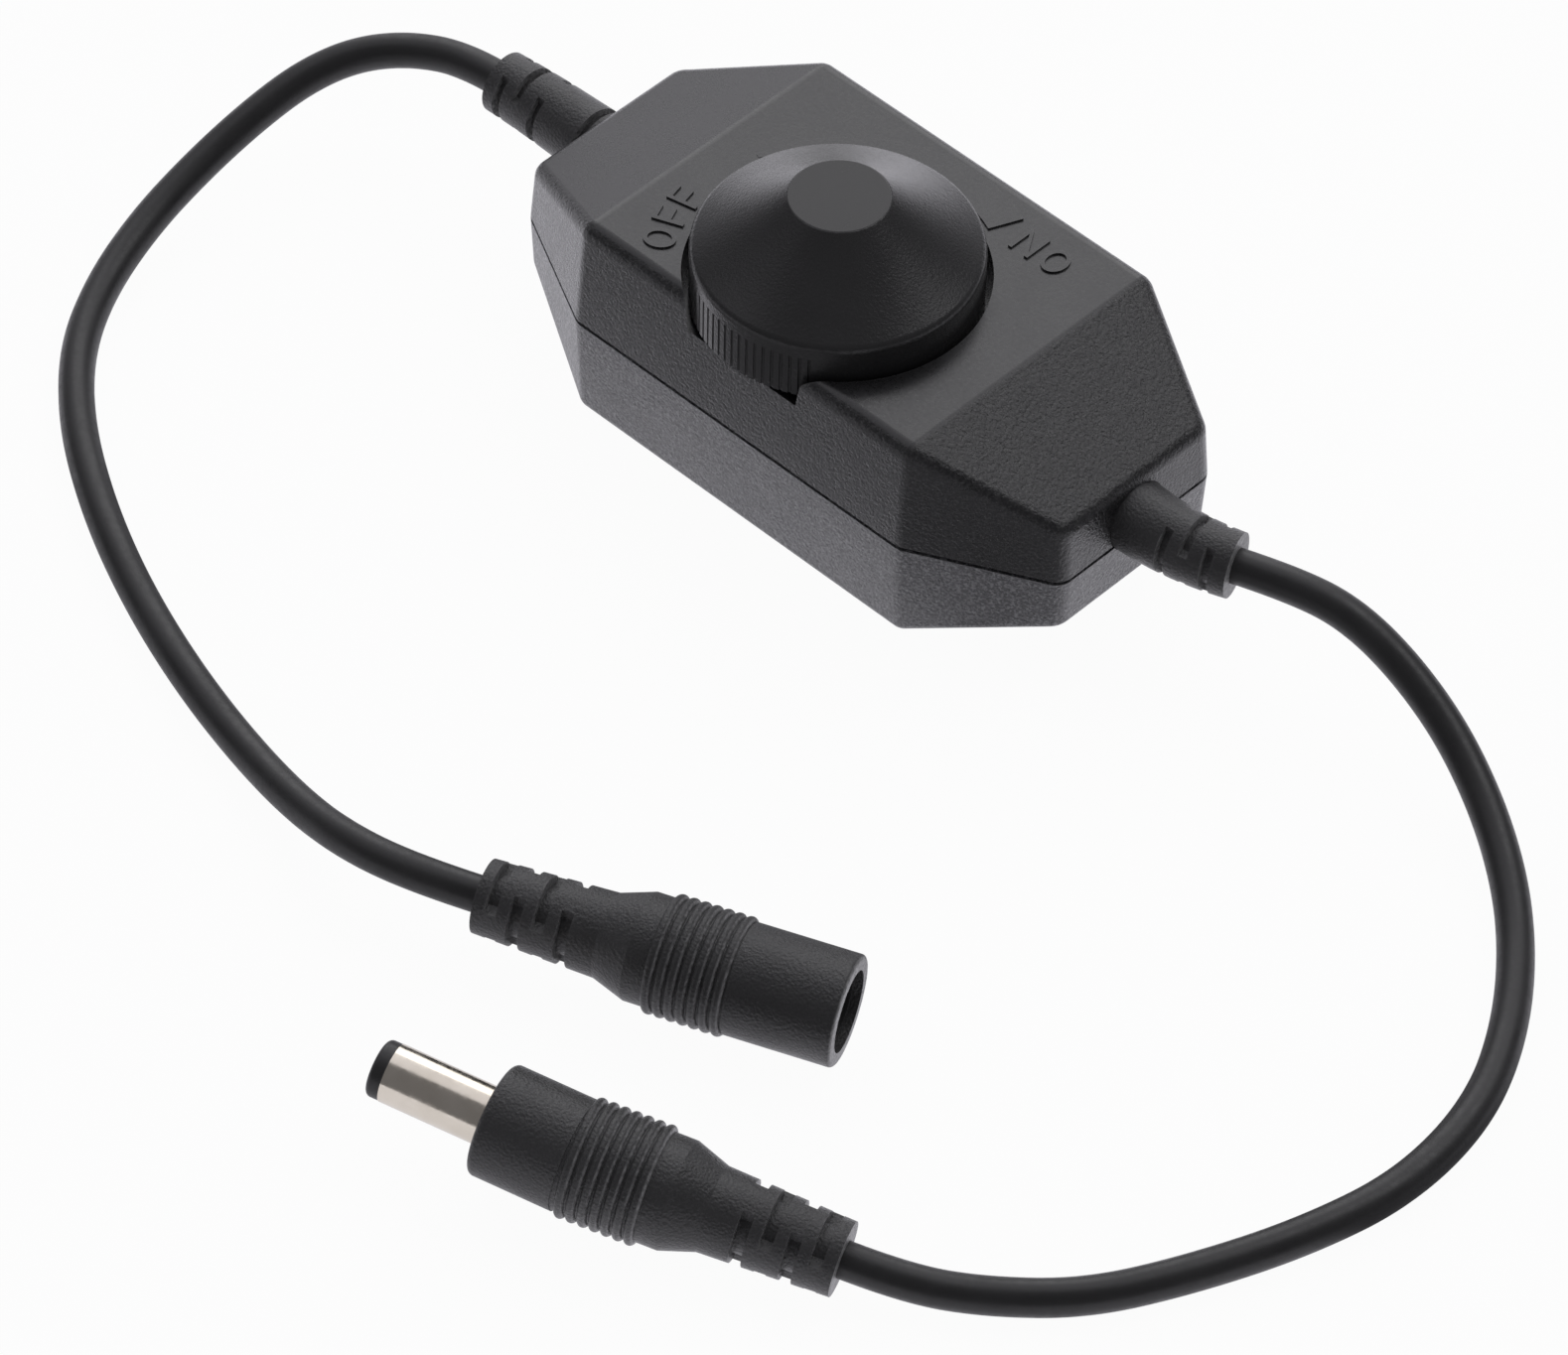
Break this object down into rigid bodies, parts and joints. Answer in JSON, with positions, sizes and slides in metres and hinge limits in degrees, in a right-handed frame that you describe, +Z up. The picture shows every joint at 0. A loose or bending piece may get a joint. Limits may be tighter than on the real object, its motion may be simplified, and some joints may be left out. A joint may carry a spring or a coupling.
{
  "type": "led strip dimmer",
  "caption": "In-line rotary dimmer for LED strips: chamfered plastic case with a flared turning knob, an input lead with a DC socket and an output lead with a DC barrel plug.",
  "frame": {"origin": "middle of the case's flat underside, on the surface that the case and its leads lie on", "axes": "+X along the case towards the output lead, +Y towards the back long side, away from the knob's notch, +Z up"},
  "size_m": [0.1697, 0.1125, 0.0334],
  "materials": {
    "case_plastic": "fine spark-eroded grain",
    "knob_plastic": "satin",
    "screw_steel": "zinc plated",
    "moulded_pvc": "finely wrinkled satin",
    "cable_jacket": "satin",
    "nickel": "polished nickel plate",
    "insulator_plastic": "satin",
    "board_laminate": "green solder mask",
    "control_metal": "satin",
    "control_plastic": "brown laminate",
    "tinned_metal": "tinned",
    "component_black": "moulded epoxy",
    "component_ceramic": "ceramic",
    "capacitor_sleeve": "shrink sleeve",
    "core_red": "smooth",
    "core_black": "smooth"
  },
  "bodies": {
    "case": {"bottom_shell": "case_plastic", "case_screws": "screw_steel", "chip_capacitors": "component_ceramic", "chip_resistors": "component_black", "circuit_board": "board_laminate", "diode": "component_black", "diode_leads": "tinned_metal", "filter_capacitor": "capacitor_sleeve", "input_cable": "cable_jacket", "input_lead_negative": "core_black", "input_lead_positive": "core_red", "input_strain_relief": "moulded_pvc", "output_cable": "cable_jacket", "output_lead_negative": "core_black", "output_lead_positive": "core_red", "output_strain_relief": "moulded_pvc", "plug_barrel": "nickel", "plug_body": "moulded_pvc", "plug_inner_contact": "nickel", "plug_tip": "insulator_plastic", "pot_base": "control_plastic", "pot_bushing": "control_metal", "pot_cover": "control_metal", "pot_terminals": "tinned_metal", "power_transistor": "component_black", "regulator": "component_black", "regulator_legs": "tinned_metal", "socket_body": "moulded_pvc", "socket_insulator": "insulator_plastic", "socket_pin": "nickel", "socket_spring_contact": "nickel", "timer_chip": "component_black", "timer_chip_legs": "tinned_metal", "top_shell": "case_plastic", "transistor_leads": "tinned_metal", "transistor_tab": "tinned_metal"},
    "control": {"knob": "knob_plastic", "pot_shaft": "control_metal", "pot_wiper": "control_plastic"}
  },
  "joints": [
    {"name": "knob_turn", "type": "hinge", "parent": "case", "child": "control", "pos_m": [0, -0.004, 0.02], "axis": [0, 0, -1], "range_deg": [-280, 0]}
  ]
}
